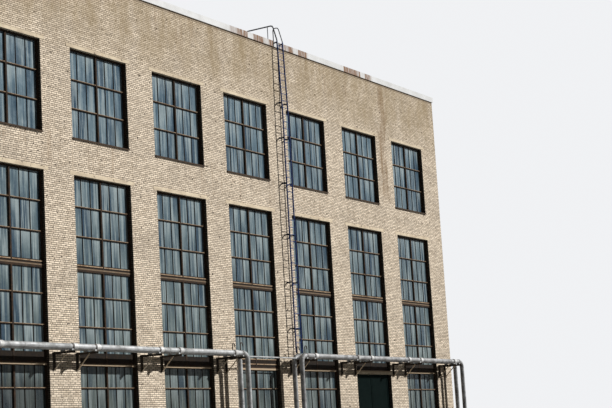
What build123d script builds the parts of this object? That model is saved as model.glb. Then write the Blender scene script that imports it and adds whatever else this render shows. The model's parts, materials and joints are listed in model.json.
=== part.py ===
from build123d import *
import math
import os

# A brick factory building, seven window bays long and three deep, in millimetres.
# X runs along the front from left to right, Y from the front to the back, and Z up.
# The origin is on the ground, in the middle of the plan.

# Plan
FRONT_BAYS = 7
END_BAYS = 3
OPENING_WIDTH = 3350
PIER_WIDTH = 1650
WALL_THICKNESS = 510
GATE_BAY = 5  # counted from 0 at the left of the front

# Heights
SILL_HEIGHT = 1500
PANEL_HEIGHT = 3500  # one window unit of three rows of panes
LOWER_PANELS = 3
SPANDREL_HEIGHT = 1400
PARAPET_HEIGHT = 2850  # brick above the heads of the upper windows

# Floors and roof
FLOOR_THICKNESS = 120
UPPER_FLOOR_THICKNESS = 350
UPPER_FLOOR_BELOW_SILL = 800
ROOF_THICKNESS = 300
ROOF_BELOW_PARAPET = 700

# Lintels and coping
LINTEL_HEIGHT = 140
LINTEL_SEAT = 220  # how far each end lies in the brickwork
LINTEL_PROUD = 12
COPING_HEIGHT = 270
COPING_FALL = 45
COPING_OVERHANG = 55
COPING_JOINT = 8

# Windows
FRAME_RECESS = 130
FRAME_DEPTH = 90
FRAME_FACE = 70
MULLION_FACE = 80
MULLION_DEPTH = 64
HEAVY_TRANSOM_FACE = 150
GLASS_THICKNESS = 6
SILL_SHEET_RISE = 55
SILL_SHEET_FALL = 30
SILL_SHEET_REACH = 45
SILL_SHEET_DROP = 35
SILL_SHEET_LIP = 8

# Gate
GATE_LINTEL_HEIGHT = 150
GATE_RECESS = 150
GATE_FRAME_FACE = 80
GATE_FRAME_DEPTH = 120
LEAF_DEPTH = 60
LEAF_RAIL = 100
LEAF_SHEET = 8
LEAF_SHEET_SETBACK = 16
LEAF_CROSS_RAILS = 2
LEAF_SIDE_GAP = 15
LEAF_CENTRE_GAP = 16
LEAF_END_GAP = 15
HINGES = 3
HINGE_OFFSET = 32
KNUCKLE_RADIUS = 25
PIN_RADIUS = 12.7
PIN_CLEARANCE = 0.3
UPPER_KNUCKLE = 80
LOWER_KNUCKLE = 60
FRAME_LUG = 40  # from the pin to the outer edge of the lug on the frame
LEAF_LUG = 30
STRAP_LENGTH = 480
STRAP_THICKNESS = 10

# Pipe racks
PIPE_RADIUS = 105
PIPE_HEIGHT = 5530
FRONT_PIPE_OFFSET = 850
REAR_PIPE_OFFSET = 450
PIPE_BEND = 300
BEND_CUTS = 3
DROP_INSET = 430
RACK_BAYS = 3
LEFT_RACK_BAY = 0  # each rack starts on the pier to the left of its bay
RIGHT_RACK_BAY = 4
LINK_RADIUS = 32
LINK_OFFSET = 650
SADDLE_HEIGHT = 40
SADDLE_WIDTH = 150
SADDLE_LENGTH = 90
SADDLE_CLEARANCE = 0.3
ARM_SECTION = 80
ARM_THICKNESS = 10
ARM_LENGTH = 1010
BRACKET_DROP = 640
BRACKET_INSET = 200
BRACE_REACH = 600
BRACE_WIDTH = 40
BRACE_THICKNESS = 12
END_BRACKET_GAP = 90

# Vents on the pipes
VENT_RADIUS = 22
VENT_BEND = 90
VENT_RISE = 230
VENT_TAIL = 60
VENT_BACKSET = 480

# Ladder
LADDER_BAY = 4  # the ladder hangs on the pier to the left of this bay
LADDER_SHIFT = 350  # from the middle of that pier to the middle of the ladder
LADDER_WIDTH = 460
LADDER_OFFSET = 270
LADDER_TOP_OFFSET = 180
LADDER_LEAN_LENGTH = 3600  # the top length that leans towards the wall
LADDER_FOOT_ABOVE_PIPE = 160
STRINGER_DEPTH = 70
STRINGER_THICKNESS = 14
RUNG_RADIUS = 12
RUNG_PITCH = 325
RUNG_FOOT_GAP = 140
STANDOFF_RISES = (1130, 3210, 5360, 7710, 9810, 11450)  # over the foot of the ladder
STANDOFF_HEIGHT = 70
STANDOFF_THICKNESS = 12
TOP_STANDOFF_DROP = 40
HANDRAIL_RISE = 760
HANDRAIL_STUB = 40
HANDRAIL_CORNER = 20  # how far the front corner lies inside the face of the wall
HANDRAIL_BEND = 110
HANDRAIL_RUN = 990
HANDRAIL_POST_INSET = 300
LEFT_HANDRAIL_RADIUS = 30
RIGHT_HANDRAIL_RADIUS = 22
HANDRAIL_POST_RADIUS = 18
HANDRAIL_SEAM = 90  # degrees, so that the seam lies in the plane of the bends

# Sizes that follow from those above
BAY_PITCH = OPENING_WIDTH + PIER_WIDTH
LENGTH = FRONT_BAYS * BAY_PITCH + PIER_WIDTH
DEPTH = END_BAYS * BAY_PITCH + PIER_WIDTH
LOWER_HEAD = SILL_HEIGHT + LOWER_PANELS * PANEL_HEIGHT
UPPER_SILL = LOWER_HEAD + SPANDREL_HEIGHT
UPPER_HEAD = UPPER_SILL + PANEL_HEIGHT
WALL_TOP = UPPER_HEAD + PARAPET_HEIGHT
COPING_TOP = WALL_TOP + COPING_HEIGHT
COPING_WIDTH = WALL_THICKNESS + 2 * COPING_OVERHANG
GATE_WINDOW_SILL = SILL_HEIGHT + PANEL_HEIGHT
GATE_HEAD = GATE_WINDOW_SILL - GATE_LINTEL_HEIGHT


def span_box(x0, x1, y0, y1, z0, z1):
    """A box between two corners."""
    return Pos((x0 + x1) / 2, (y0 + y1) / 2, (z0 + z1) / 2) * Box(x1 - x0, y1 - y0, z1 - z0)


class Side:
    """One outside wall, drawn with its outer face on Y = 0 and then turned into place."""

    def __init__(self, name, turn, bays, length, setback, trim):
        self.name = name
        self.bays = bays
        self.length = length
        self.trim = trim
        self.place = Rot(0, 0, turn) * Pos(0, -setback, 0)

    def pier(self, index):
        """The left and right edges of a pier."""
        left = -self.length / 2 + index * BAY_PITCH
        right = left + PIER_WIDTH
        if index == 0:
            left = left + self.trim
        if index == self.bays:
            right = right - self.trim
        return left, right

    def opening(self, bay):
        """The left and right jambs of a window bay."""
        left = -self.length / 2 + PIER_WIDTH + bay * BAY_PITCH
        return left, left + OPENING_WIDTH

    def has_gate(self, bay):
        return self.name == "front" and bay == GATE_BAY

    def windows(self, bay):
        """The sill and head of each window in a bay, and its number of units."""
        if self.has_gate(bay):
            lower = (GATE_WINDOW_SILL, LOWER_HEAD, LOWER_PANELS - 1)
        else:
            lower = (SILL_HEIGHT, LOWER_HEAD, LOWER_PANELS)
        return [lower, (UPPER_SILL, UPPER_HEAD, 1)]


SIDES = [
    Side("front", 0, FRONT_BAYS, LENGTH, DEPTH / 2, 0),
    Side("right_end", 90, END_BAYS, DEPTH, LENGTH / 2, WALL_THICKNESS),
    Side("back", 180, FRONT_BAYS, LENGTH, DEPTH / 2, 0),
    Side("left_end", 270, END_BAYS, DEPTH, LENGTH / 2, WALL_THICKNESS),
]
FRONT = SIDES[0]


def write(name, shapes):
    """One file for a node, from one solid or from several that stand apart."""
    shapes = list(shapes)
    shape = shapes[0] if len(shapes) == 1 else Compound(children=shapes)
    export_step(shape, f"parts/{name}.step")


# Walls


def lintels(side):
    """A concrete lintel over every window, and a flush one over the gate."""
    solids = []
    for bay in range(side.bays):
        left, right = side.opening(bay)
        left, right = left - LINTEL_SEAT, right + LINTEL_SEAT
        for _, head, _ in side.windows(bay):
            solids.append(span_box(left, right, -LINTEL_PROUD, WALL_THICKNESS, head, head + LINTEL_HEIGHT))
        if side.has_gate(bay):
            solids.append(span_box(left, right, 0, WALL_THICKNESS, GATE_HEAD, GATE_WINDOW_SILL))
    return solids


def piers(side):
    """Brick piers from the ground to the coping, with pockets for the lintel ends."""
    solids = []
    for index in range(side.bays + 1):
        left, right = side.pier(index)
        pier = span_box(left, right, 0, WALL_THICKNESS, 0, WALL_TOP)
        for lintel in lintels(side):
            box = lintel.bounding_box()
            if box.max.X > left and box.min.X < right:
                pier = pier - lintel
        solids.append(pier)
    return solids


def spandrels(side):
    """Brick between the piers: under the windows, between them and above them."""
    solids = []
    for bay in range(side.bays):
        left, right = side.opening(bay)
        bands = [(LOWER_HEAD + LINTEL_HEIGHT, UPPER_SILL), (UPPER_HEAD + LINTEL_HEIGHT, WALL_TOP)]
        if not side.has_gate(bay):
            bands.append((0, SILL_HEIGHT))
        for bottom, top in bands:
            solids.append(span_box(left, right, 0, WALL_THICKNESS, bottom, top))
    return solids


def coping_length(run):
    """A length of coping with a top that falls towards the roof."""
    section = Plane.YZ * Polyline(
        (-COPING_OVERHANG, WALL_TOP),
        (-COPING_OVERHANG, COPING_TOP),
        (COPING_WIDTH - COPING_OVERHANG, COPING_TOP - COPING_FALL),
        (COPING_WIDTH - COPING_OVERHANG, WALL_TOP),
        close=True,
    )
    return extrude(make_face(section), run / 2, both=True)


def coping():
    """Four lengths of coping on the parapet, with a joint at each corner."""
    full = LENGTH + 2 * COPING_OVERHANG
    between = DEPTH + 2 * (COPING_OVERHANG - COPING_WIDTH - COPING_JOINT)
    return [side.place * coping_length(between if side.trim else full) for side in SIDES]


def slab(bottom, thickness):
    """A slab that fills the plan inside the walls."""
    half_length = LENGTH / 2 - WALL_THICKNESS
    half_depth = DEPTH / 2 - WALL_THICKNESS
    return span_box(-half_length, half_length, -half_depth, half_depth, bottom, bottom + thickness)


# Windows


def window_frame(left, right, sill, head, units):
    """A frame with a middle mullion, heavy transoms between units, and drip sheets."""
    back = FRAME_RECESS + FRAME_DEPTH
    frame = span_box(left, right, FRAME_RECESS, back, sill, head)
    inner_left, inner_right = left + FRAME_FACE, right - FRAME_FACE
    inner_low, inner_high = sill + FRAME_FACE, head - FRAME_FACE
    frame = frame - span_box(inner_left, inner_right, FRAME_RECESS, back, inner_low, inner_high)
    middle = (left + right) / 2
    mullion_back = FRAME_RECESS + MULLION_DEPTH
    frame = frame + span_box(
        middle - MULLION_FACE / 2,
        middle + MULLION_FACE / 2,
        FRAME_RECESS,
        mullion_back,
        inner_low,
        inner_high,
    )
    for unit in range(1, units):
        level = sill + unit * PANEL_HEIGHT
        low, high = level - HEAVY_TRANSOM_FACE / 2, level + HEAVY_TRANSOM_FACE / 2
        frame = frame + span_box(inner_left, inner_right, FRAME_RECESS, mullion_back, low, high)
    drip = Polyline(
        (FRAME_RECESS, 0),
        (FRAME_RECESS, SILL_SHEET_RISE),
        (-SILL_SHEET_REACH, SILL_SHEET_RISE - SILL_SHEET_FALL),
        (-SILL_SHEET_REACH, -SILL_SHEET_DROP),
        (-SILL_SHEET_REACH + SILL_SHEET_LIP, -SILL_SHEET_DROP),
        (-SILL_SHEET_REACH + SILL_SHEET_LIP, 0),
        close=True,
    )
    sheet = extrude(make_face(Plane.YZ * drip), (right - left) / 2, both=True)
    return frame + Pos(middle, 0, sill) * sheet


def window_frames(side):
    """Every window frame of one side, lower windows first in each bay."""
    solids = []
    for bay in range(side.bays):
        left, right = side.opening(bay)
        for sill, head, units in side.windows(bay):
            solids.append(window_frame(left, right, sill, head, units))
    return solids


def window_glass(side):
    """A sheet of glass behind the mullion of each window."""
    front = FRAME_RECESS + MULLION_DEPTH
    solids = []
    for bay in range(side.bays):
        left, right = side.opening(bay)
        for sill, head, _ in side.windows(bay):
            solids.append(
                span_box(
                    left + FRAME_FACE,
                    right - FRAME_FACE,
                    front,
                    front + GLASS_THICKNESS,
                    sill + FRAME_FACE,
                    head - FRAME_FACE,
                )
            )
    return solids


# Gate

GATE_LEFT, GATE_RIGHT = FRONT.opening(GATE_BAY)
GATE_MIDDLE = (GATE_LEFT + GATE_RIGHT) / 2
LEAF_FOOT = FLOOR_THICKNESS + LEAF_END_GAP
LEAF_TOP = GATE_HEAD - GATE_FRAME_FACE - LEAF_END_GAP
LEAF_OUTER = GATE_LEFT + GATE_FRAME_FACE + LEAF_SIDE_GAP
LEAF_INNER = GATE_MIDDLE - LEAF_CENTRE_GAP / 2
HINGE_X = GATE_LEFT + GATE_FRAME_FACE + LEAF_SIDE_GAP / 2
HINGE_Y = GATE_RECESS - HINGE_OFFSET


def hinge_levels():
    """The height of the bearing face of each hinge."""
    low = LEAF_FOOT + LEAF_RAIL / 2
    high = LEAF_TOP - LEAF_RAIL / 2
    return [low + (high - low) * step / (HINGES - 1) for step in range(HINGES)]


def knuckle(radius, bottom, height):
    """A round hinge part on the left leaf's axis."""
    return Pos(HINGE_X, HINGE_Y, bottom + height / 2) * Cylinder(radius, height)


def gate_frame():
    """A portal of square tube with the lower knuckles and the pins of both leaves."""
    front, back = GATE_RECESS, GATE_RECESS + GATE_FRAME_DEPTH
    frame = span_box(GATE_LEFT, GATE_RIGHT, front, back, FLOOR_THICKNESS, GATE_HEAD)
    frame = frame - span_box(
        GATE_LEFT + GATE_FRAME_FACE,
        GATE_RIGHT - GATE_FRAME_FACE,
        front,
        back,
        FLOOR_THICKNESS,
        GATE_HEAD - GATE_FRAME_FACE,
    )
    fittings = []
    for level in hinge_levels():
        bottom = level - LOWER_KNUCKLE
        lug = span_box(HINGE_X - FRAME_LUG, HINGE_X, HINGE_Y, GATE_RECESS, bottom, level)
        pin = knuckle(PIN_RADIUS, bottom, LOWER_KNUCKLE + UPPER_KNUCKLE)
        fittings.append(knuckle(KNUCKLE_RADIUS, bottom, LOWER_KNUCKLE) + lug + pin)
    for fitting in fittings:
        frame = frame + fitting + mirrored(fitting)
    return frame


def mirrored(shape):
    """The same shape on the other side of the middle of the gate."""
    return mirror(shape, Plane((GATE_MIDDLE, 0, 0), z_dir=(1, 0, 0)))


def gate_leaf():
    """The left leaf: a rail frame, a sheet set back in it, and strap hinges."""
    front, back = GATE_RECESS, GATE_RECESS + LEAF_DEPTH
    leaf = span_box(LEAF_OUTER, LEAF_INNER, front, back, LEAF_FOOT, LEAF_TOP)
    clear = (LEAF_TOP - LEAF_FOOT - (LEAF_CROSS_RAILS + 2) * LEAF_RAIL) / (LEAF_CROSS_RAILS + 1)
    sheet_front = front + LEAF_SHEET_SETBACK
    sheet_back = sheet_front + LEAF_SHEET
    for row in range(LEAF_CROSS_RAILS + 1):
        low = LEAF_FOOT + LEAF_RAIL + row * (clear + LEAF_RAIL)
        left, right = LEAF_OUTER + LEAF_RAIL, LEAF_INNER - LEAF_RAIL
        leaf = leaf - span_box(left, right, front, sheet_front, low, low + clear)
        leaf = leaf - span_box(left, right, sheet_back, back, low, low + clear)
    for level in hinge_levels():
        bottom = level + PIN_CLEARANCE
        top = level + UPPER_KNUCKLE
        strap_front = GATE_RECESS - STRAP_THICKNESS
        strap = span_box(HINGE_X, HINGE_X + STRAP_LENGTH, strap_front, GATE_RECESS, bottom, top)
        lug = span_box(HINGE_X, HINGE_X + LEAF_LUG, HINGE_Y, GATE_RECESS, bottom, top)
        barrel = knuckle(KNUCKLE_RADIUS, bottom, top - bottom)
        bore = knuckle(PIN_RADIUS + PIN_CLEARANCE, bottom, top - bottom)
        leaf = leaf + (strap + lug + barrel - bore)
    return leaf


def gate_threshold():
    """The floor carried through the gateway to the face of the wall."""
    return span_box(GATE_LEFT, GATE_RIGHT, 0, WALL_THICKNESS, 0, FLOOR_THICKNESS)


# Pipe racks

PIPE_FOOT = 0
ARM_TOP = PIPE_HEIGHT - PIPE_RADIUS - SADDLE_HEIGHT


def rack_ends(rack):
    """The X of the two drops of the rack that starts at a bay."""
    left = FRONT.pier(rack)[0] + DROP_INSET
    right = FRONT.pier(rack + RACK_BAYS)[1] - DROP_INSET
    return left, right


def bend_points(corner, before, after, radius, cuts):
    """Points along a bend made of straight mitred lengths."""
    start = corner - before * radius
    centre = start + after * radius
    points = []
    for step in range(cuts + 1):
        angle = math.pi / 2 * step / cuts
        points.append(centre - after * radius * math.cos(angle) + before * radius * math.sin(angle))
    return points


def tube(points, radius, seam=0):
    """A round bar with mitred corners through a list of points, its seam turned by an angle."""
    path = Polyline(*points)
    section = Plane(path @ 0, z_dir=path % 0) * Rot(0, 0, seam) * Circle(radius)
    return sweep(section, path, transition=Transition.RIGHT)


def rack_pipe(rack, offset):
    """A jacketed pipe up from the ground, along the wall and down again."""
    left, right = rack_ends(rack)
    up, along = Vector(0, 0, 1), Vector(1, 0, 0)
    points = [Vector(left, -offset, PIPE_FOOT)]
    points += bend_points(Vector(left, -offset, PIPE_HEIGHT), up, along, PIPE_BEND, BEND_CUTS)
    points += bend_points(Vector(right, -offset, PIPE_HEIGHT), along, -up, PIPE_BEND, BEND_CUTS)
    points.append(Vector(right, -offset, PIPE_FOOT))
    return tube(points, PIPE_RADIUS)


def bracket_places(rack):
    """The X of each bracket: two on every pier under the rack."""
    last = rack + RACK_BAYS
    left_drop, right_drop = rack_ends(rack)
    run_in = PIPE_BEND + END_BRACKET_GAP
    places = []
    for index in range(rack, last + 1):
        left, right = FRONT.pier(index)
        low = left_drop + run_in if index == rack else left + BRACKET_INSET
        high = right_drop - run_in if index == last else right - BRACKET_INSET
        places += [low, high]
    return places


def bracket():
    """A wall post, an arm and a brace, drawn about X = 0 with the wall at Y = 0."""
    half = ARM_SECTION / 2
    arm = span_box(-half, half, -ARM_LENGTH, 0, ARM_TOP - ARM_THICKNESS, ARM_TOP)
    arm = arm + span_box(half - ARM_THICKNESS, half, -ARM_LENGTH, 0, ARM_TOP - ARM_SECTION, ARM_TOP)
    foot = ARM_TOP - BRACKET_DROP
    post = span_box(-half, half, -ARM_THICKNESS, 0, foot, ARM_TOP)
    post = post + span_box(half - ARM_THICKNESS, half, -ARM_SECTION, 0, foot, ARM_TOP)
    low = foot + ARM_SECTION / 2
    high = ARM_TOP - ARM_SECTION / 2
    brace = Polyline(
        (-ARM_THICKNESS, low),
        (-BRACE_REACH, high),
        (-BRACE_REACH - BRACE_WIDTH, high),
        (-ARM_THICKNESS, low - BRACE_WIDTH),
        close=True,
    )
    brace = extrude(make_face(Plane.YZ * brace), BRACE_THICKNESS)
    return arm + post + Pos(half - ARM_THICKNESS - BRACE_THICKNESS, 0, 0) * brace


def saddle(offset):
    """A block on the arm that cradles one pipe."""
    half = SADDLE_LENGTH / 2
    top = ARM_TOP + SADDLE_HEIGHT + PIPE_RADIUS / 2
    block = span_box(-half, half, -offset - SADDLE_WIDTH / 2, -offset + SADDLE_WIDTH / 2, ARM_TOP, top)
    seat = Rot(0, 90, 0) * Cylinder(PIPE_RADIUS + SADDLE_CLEARANCE, SADDLE_LENGTH)
    return block - Pos(0, -offset, PIPE_HEIGHT) * seat


def vent(x, offset):
    """A gooseneck of small pipe that rises from the main pipe and turns down."""
    up, along = Vector(0, 0, 1), Vector(1, 0, 0)
    top = PIPE_HEIGHT + PIPE_RADIUS + VENT_RISE + VENT_BEND
    points = [Vector(x, -offset, PIPE_HEIGHT + PIPE_RADIUS - VENT_RADIUS)]
    points += bend_points(Vector(x, -offset, top), up, along, VENT_BEND, BEND_CUTS)
    points += bend_points(Vector(x + 2 * VENT_BEND, -offset, top), along, -up, VENT_BEND, BEND_CUTS)[1:]
    points.append(Vector(x + 2 * VENT_BEND, -offset, top - VENT_BEND - VENT_TAIL))
    main = Pos(x, -offset, PIPE_HEIGHT) * Rot(0, 90, 0) * Cylinder(PIPE_RADIUS, 4 * VENT_BEND)
    return tube(points, VENT_RADIUS) - main


def vent_places(rack, end):
    """The X of the foot of the goosenecks at one end of a rack."""
    left, right = rack_ends(rack)
    if end == "left":
        return left + VENT_BACKSET - 2 * VENT_BEND
    return right - VENT_BACKSET


def link_pipe():
    """A thin pipe on the brackets, across the open bay between the two racks."""
    half = ARM_SECTION / 2
    left = bracket_places(LEFT_RACK_BAY)[-1] - half
    right = bracket_places(RIGHT_RACK_BAY)[0] + half
    level = ARM_TOP + LINK_RADIUS
    return tube([Vector(left, -LINK_OFFSET, level), Vector(right, -LINK_OFFSET, level)], LINK_RADIUS)


# Ladder

LADDER_X = sum(FRONT.pier(LADDER_BAY)) / 2 + LADDER_SHIFT
LADDER_FOOT = PIPE_HEIGHT + LADDER_FOOT_ABOVE_PIPE
LEAN_START = COPING_TOP - LADDER_LEAN_LENGTH
RAIL_TOP = COPING_TOP + HANDRAIL_RISE
STRINGER_X = LADDER_WIDTH / 2
STRINGER_FACE = STRINGER_X + STRINGER_THICKNESS / 2


def both_sides(shape):
    """A shape and its mirror image about the middle of the ladder, in place."""
    return [Pos(LADDER_X, 0, 0) * shape, Pos(LADDER_X, 0, 0) * mirror(shape, Plane.YZ)]


def ladder_offset(level):
    """How far the middle of the stringers stands off the wall at a height."""
    share = max(0, level - LEAN_START) / LADDER_LEAN_LENGTH
    return LADDER_OFFSET + (LADDER_TOP_OFFSET - LADDER_OFFSET) * share


def ladder():
    """Two flat stringers that lean in to the coping, and the rungs between them."""
    half = STRINGER_DEPTH / 2
    levels = [LADDER_FOOT, LEAN_START, COPING_TOP]
    outer = [(-ladder_offset(level) - half, level) for level in levels]
    inner = [(-ladder_offset(level) + half, level) for level in reversed(levels)]
    side = make_face(Plane.YZ * Polyline(*outer, *inner, close=True))
    stringer = Pos(STRINGER_X, 0, 0) * extrude(side, STRINGER_THICKNESS / 2, both=True)
    body = stringer + mirror(stringer, Plane.YZ)
    count = int((COPING_TOP - LADDER_FOOT - RUNG_FOOT_GAP) // RUNG_PITCH) + 1
    for step in range(count):
        level = LADDER_FOOT + RUNG_FOOT_GAP + step * RUNG_PITCH
        rung = Rot(0, 90, 0) * Cylinder(RUNG_RADIUS, LADDER_WIDTH)
        body = body + Pos(0, -ladder_offset(level), level) * rung
    return Pos(LADDER_X, 0, 0) * body


def standoff(high, wall):
    """A flat bar outside a stringer, from the stringer back to the wall or the coping."""
    low = high - STANDOFF_HEIGHT
    reach = ladder_offset(high) + STRINGER_DEPTH / 2
    outer = STRINGER_FACE + STANDOFF_THICKNESS
    return span_box(STRINGER_FACE, outer, -reach, -wall, low, high)


def ladder_standoffs():
    """Pairs of bars that hold the ladder off the brickwork, and one pair on the coping."""
    solids = []
    for rise in STANDOFF_RISES:
        solids += both_sides(standoff(LADDER_FOOT + rise, 0))
    solids += both_sides(standoff(COPING_TOP - TOP_STANDOFF_DROP, COPING_OVERHANG))
    return solids


def rail_start():
    """Points from the top of a stringer, in over the wall and round the front corner."""
    inward = Vector(0, 1, 0)
    foot = Vector(0, -LADDER_TOP_OFFSET, COPING_TOP)
    stub = Vector(0, -LADDER_TOP_OFFSET, COPING_TOP + HANDRAIL_STUB)
    corner = Vector(0, HANDRAIL_CORNER, RAIL_TOP)
    before = corner - (corner - stub).normalized() * HANDRAIL_BEND
    after = corner + inward * HANDRAIL_BEND
    halfway = (before + after) / 4 + corner / 2
    return [foot, stub, before, halfway, after]


def upright(points, radius):
    """A round bar with one end on the coping, cut to its slope."""
    return tube(points, radius, HANDRAIL_SEAM) - coping_length(LADDER_WIDTH)


def left_handrail():
    """The long rail: back over the parapet and down to the roof, with a post on the coping."""
    up, inward = Vector(0, 0, 1), Vector(0, 1, 0)
    end_y = WALL_THICKNESS + HANDRAIL_RUN
    points = rail_start()
    points += bend_points(Vector(0, end_y, RAIL_TOP), inward, -up, HANDRAIL_BEND, BEND_CUTS)
    points.append(Vector(0, end_y, WALL_TOP - ROOF_BELOW_PARAPET))
    post = [Vector(0, HANDRAIL_POST_INSET, level) for level in (WALL_TOP, RAIL_TOP)]
    rail = tube(points, LEFT_HANDRAIL_RADIUS, HANDRAIL_SEAM)
    return rail + upright(post, HANDRAIL_POST_RADIUS)


def right_handrail():
    """The short rail: back to a leg on the coping."""
    up, inward = Vector(0, 0, 1), Vector(0, 1, 0)
    points = rail_start()
    rear = Vector(0, HANDRAIL_POST_INSET, RAIL_TOP)
    points += bend_points(rear, inward, -up, HANDRAIL_BEND, BEND_CUTS)
    points.append(Vector(0, HANDRAIL_POST_INSET, WALL_TOP))
    return upright(points, RIGHT_HANDRAIL_RADIUS)


def roof_handrails():
    """A rail from each stringer."""
    left = Pos(LADDER_X - STRINGER_X, 0, 0) * left_handrail()
    return [left, Pos(LADDER_X + STRINGER_X, 0, 0) * right_handrail()]


# Nodes

os.makedirs("parts", exist_ok=True)

for side in SIDES:
    write(f"{side.name}_piers", [side.place * solid for solid in piers(side)])
    write(f"{side.name}_spandrels", [side.place * solid for solid in spandrels(side)])
    write(f"{side.name}_lintels", [side.place * solid for solid in lintels(side)])
    write(f"{side.name}_window_frames", [side.place * solid for solid in window_frames(side)])
    write(f"{side.name}_window_glass", [side.place * solid for solid in window_glass(side)])

write("ground_floor", [slab(0, FLOOR_THICKNESS)])
upper_floor_top = UPPER_SILL - UPPER_FLOOR_BELOW_SILL
write("upper_floor", [slab(upper_floor_top - UPPER_FLOOR_THICKNESS, UPPER_FLOOR_THICKNESS)])
write("roof_slab", [slab(WALL_TOP - ROOF_BELOW_PARAPET - ROOF_THICKNESS, ROOF_THICKNESS)])
write("parapet_coping", coping())

left_leaf = gate_leaf()
write("gate_frame", [FRONT.place * gate_frame()])
write("gate_leaf_left", [FRONT.place * left_leaf])
write("gate_leaf_right", [FRONT.place * mirrored(left_leaf)])
write("gate_threshold", [FRONT.place * gate_threshold()])

pipes = (FRONT_PIPE_OFFSET, REAR_PIPE_OFFSET)
for name, rack, vent_end in (("left", LEFT_RACK_BAY, "right"), ("right", RIGHT_RACK_BAY, "left")):
    places = bracket_places(rack)
    vent_x = vent_places(rack, vent_end)
    saddles = [Pos(x, 0, 0) * saddle(pipe) for x in places for pipe in pipes]
    write(f"{name}_rack_brackets", [FRONT.place * Pos(x, 0, 0) * bracket() for x in places])
    write(f"{name}_rack_saddles", [FRONT.place * solid for solid in saddles])
    write(f"{name}_rack_front_pipe", [FRONT.place * rack_pipe(rack, FRONT_PIPE_OFFSET)])
    write(f"{name}_rack_rear_pipe", [FRONT.place * rack_pipe(rack, REAR_PIPE_OFFSET)])
    write(f"{name}_rack_vents", [FRONT.place * vent(vent_x, pipe) for pipe in pipes])
write("rack_link_pipe", [FRONT.place * link_pipe()])

write("roof_ladder", [FRONT.place * ladder()])
write("ladder_standoffs", [FRONT.place * solid for solid in ladder_standoffs()])
write("roof_handrails", [FRONT.place * solid for solid in roof_handrails()])
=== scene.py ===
import bmesh
import bpy
import json
from math import pi
from mathutils import Matrix, Vector


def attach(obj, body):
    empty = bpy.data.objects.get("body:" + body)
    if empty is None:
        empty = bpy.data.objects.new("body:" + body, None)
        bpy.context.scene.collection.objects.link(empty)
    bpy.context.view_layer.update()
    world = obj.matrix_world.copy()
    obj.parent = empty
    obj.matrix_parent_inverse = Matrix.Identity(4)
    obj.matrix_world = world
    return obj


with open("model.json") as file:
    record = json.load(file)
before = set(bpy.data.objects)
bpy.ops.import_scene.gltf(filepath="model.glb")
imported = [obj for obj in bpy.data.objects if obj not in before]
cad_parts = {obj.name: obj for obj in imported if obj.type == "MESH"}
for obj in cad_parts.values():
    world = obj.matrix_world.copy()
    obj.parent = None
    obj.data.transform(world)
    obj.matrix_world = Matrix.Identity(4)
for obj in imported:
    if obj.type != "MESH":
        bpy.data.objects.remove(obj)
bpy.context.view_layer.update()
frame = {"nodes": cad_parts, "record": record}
print("frame loaded")

# where the walls and windows stand, in metres
building = {
    "halfLength": 18.325, "halfDepth": 8.325, "bay": 5.0, "pier": 1.65, "opening": 3.35,
    "frontBays": 7, "endBays": 3, "gateBay": 5, "onFront": -7.8,
    "sill": 1.5, "unit": 3.5, "lowerUnits": 3, "upperSill": 13.4, "upperUnits": 1,
    "wallTop": 19.75, "copingTop": 20.02,
}
length, depth = building["halfLength"], building["halfDepth"]

# turn and distance of each outer wall
walls = {
    "front": {"turn": 0, "away": depth, "half": length, "bays": building["frontBays"]},
    "right_end": {"turn": 90, "away": length, "half": depth, "bays": building["endBays"]},
    "back": {"turn": 180, "away": depth, "half": length, "bays": building["frontBays"]},
    "left_end": {"turn": 270, "away": length, "half": depth, "bays": building["endBays"]},
}


def wallPlace(side):
    wall = walls[side]
    return Matrix.Rotation(wall["turn"] * pi / 180, 4, "Z") @ Matrix.Translation((0, -wall["away"], 0))


def bayEdges(side, bay):
    left = -walls[side]["half"] + building["pier"] + bay * building["bay"]
    return left, left + building["opening"]


def bayWindows(side, bay):
    # sill and number of units of the lower and the upper window, which is shorter over the gate
    lower = (building["sill"], building["lowerUnits"])
    if side == "front" and bay == building["gateBay"]:
        lower = (building["sill"] + building["unit"], building["lowerUnits"] - 1)
    return [lower, (building["upperSill"], building["upperUnits"])]


# small helpers for meshes

def addBlock(mesh, low, high, edge=0.0):
    # a block between two corners, with its edges cut when edge is given
    size = Vector(high) - Vector(low)
    middle = (Vector(high) + Vector(low)) / 2
    place = Matrix.Translation(middle) @ Matrix.Diagonal((*size, 1))
    made = bmesh.ops.create_cube(mesh, size=1, matrix=place)["verts"]
    if edge:
        edges = list(dict.fromkeys(e for v in made for e in v.link_edges))
        cut = {"segments": 1, "profile": 0.5, "affect": "EDGES", "material": -1}
        bmesh.ops.bevel(mesh, geom=edges, offset=edge, **cut)
    return made


def addRod(mesh, start, end, radius, sides):
    start, end = Vector(start), Vector(end)
    along = end - start
    turn = along.to_track_quat("Z", "Y").to_matrix().to_4x4()
    place = Matrix.Translation((start + end) / 2) @ turn
    size = {"radius1": radius, "radius2": radius, "depth": along.length}
    bmesh.ops.create_cone(mesh, cap_ends=True, segments=sides, matrix=place, **size)


def addPiece(name, mesh, finish, body, place=None):
    if place is not None:
        bmesh.ops.transform(mesh, matrix=place, verts=mesh.verts)
    data = bpy.data.meshes.new(name)
    mesh.to_mesh(data)
    mesh.free()
    data.materials.append(finish)
    piece = bpy.data.objects.new(name, data)
    bpy.context.scene.collection.objects.link(piece)
    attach(piece, body)


# small helpers for materials

def newFinish(name):
    finish = bpy.data.materials.new(name)
    finish.use_nodes = True
    tree = finish.node_tree
    return finish, tree, tree.nodes["Principled BSDF"]


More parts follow.
